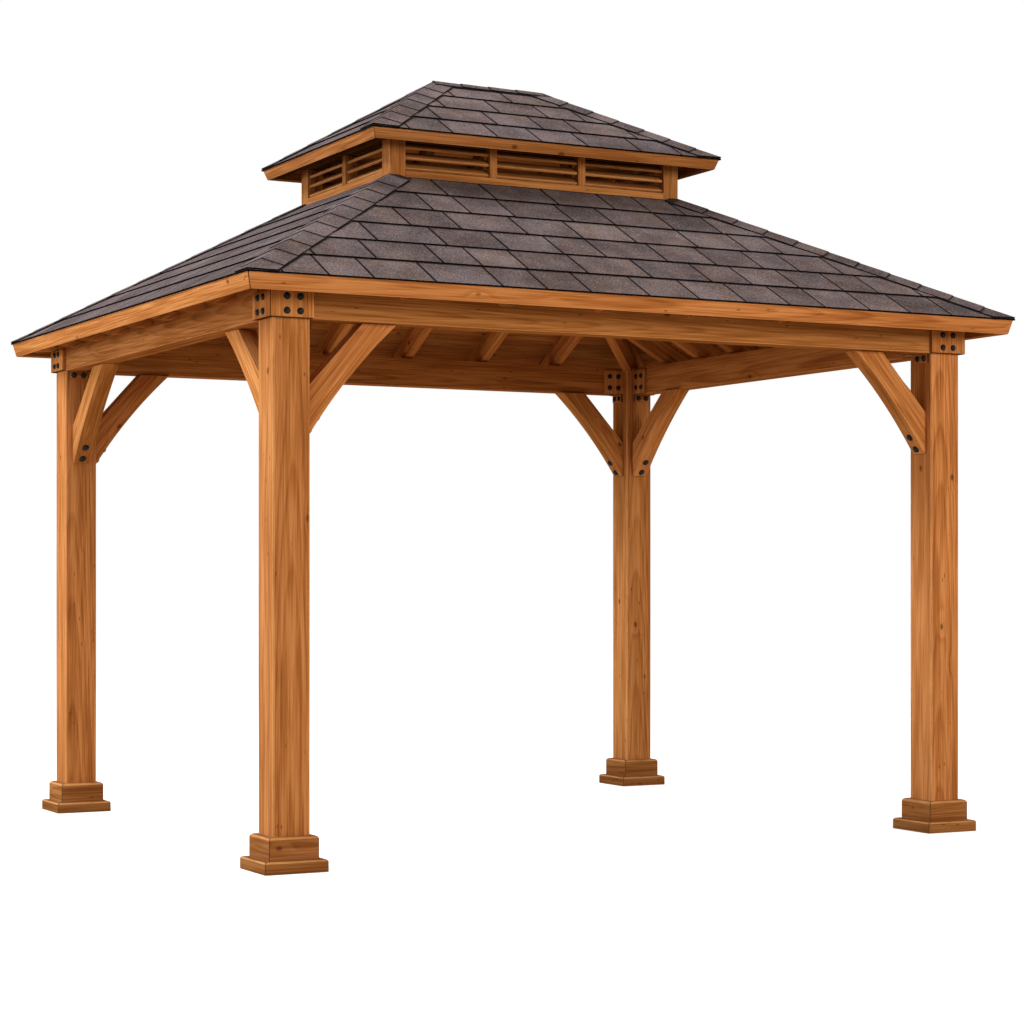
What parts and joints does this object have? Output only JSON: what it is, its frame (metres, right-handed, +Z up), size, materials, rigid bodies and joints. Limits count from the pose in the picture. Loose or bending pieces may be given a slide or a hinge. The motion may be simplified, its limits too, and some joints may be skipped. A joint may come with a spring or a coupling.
{
  "type": "garden gazebo",
  "caption": "Open timber garden gazebo with square posts on stepped bases, curved knee braces, a hipped shingle roof and a louvered cupola with its own hipped roof.",
  "frame": {"origin": "centre of the footprint on the ground", "axes": "+X along the long side, -Y the front, +Z up"},
  "size_m": [3.54, 3.07, 3.3214],
  "materials": {
    "stained_timber": "honey-brown stained softwood with grain and knots",
    "stained_trim": "honey-brown stained softwood boards",
    "sheathing_boards": "brown stained softwood boards",
    "shingles": "dark grey-brown mineral-granule shingle",
    "black_hardware": "black painted bolts"
  },
  "bodies": {
    "root": {"front_left_post": "stained_timber", "front_left_corner_plates": "stained_trim", "front_left_braces": "stained_timber", "front_right_post": "stained_timber", "front_right_corner_plates": "stained_trim", "front_right_braces": "stained_timber", "back_left_post": "stained_timber", "back_left_corner_plates": "stained_trim", "back_left_braces": "stained_timber", "back_right_post": "stained_timber", "back_right_corner_plates": "stained_trim", "back_right_braces": "stained_timber", "front_beam": "stained_timber", "front_sheathing": "sheathing_boards", "front_shingles": "shingles", "front_louvers": "stained_trim", "right_beam": "stained_timber", "right_sheathing": "sheathing_boards", "right_shingles": "shingles", "right_louvers": "stained_trim", "back_beam": "stained_timber", "back_sheathing": "sheathing_boards", "back_shingles": "shingles", "back_louvers": "stained_trim", "left_beam": "stained_timber", "left_sheathing": "sheathing_boards", "left_shingles": "shingles", "left_louvers": "stained_trim", "base_skirts": "stained_trim", "base_collars": "stained_trim", "inner_plates": "stained_trim", "bearing_cleats": "stained_trim", "main_fascia": "stained_trim", "cupola_fascia": "stained_trim", "cupola_posts": "stained_trim", "cupola_sills": "stained_trim", "cupola_mullions": "stained_trim", "hip_rafters": "stained_timber", "long_side_rafters": "stained_timber", "short_side_rafters": "stained_timber", "cupola_curb": "stained_timber", "cupola_wall_plates": "stained_timber", "cupola_rafters": "stained_timber", "cupola_ridge_board": "stained_timber", "cupola_sheathing": "sheathing_boards", "cupola_shingles": "shingles"}
  },
  "joints": []
}
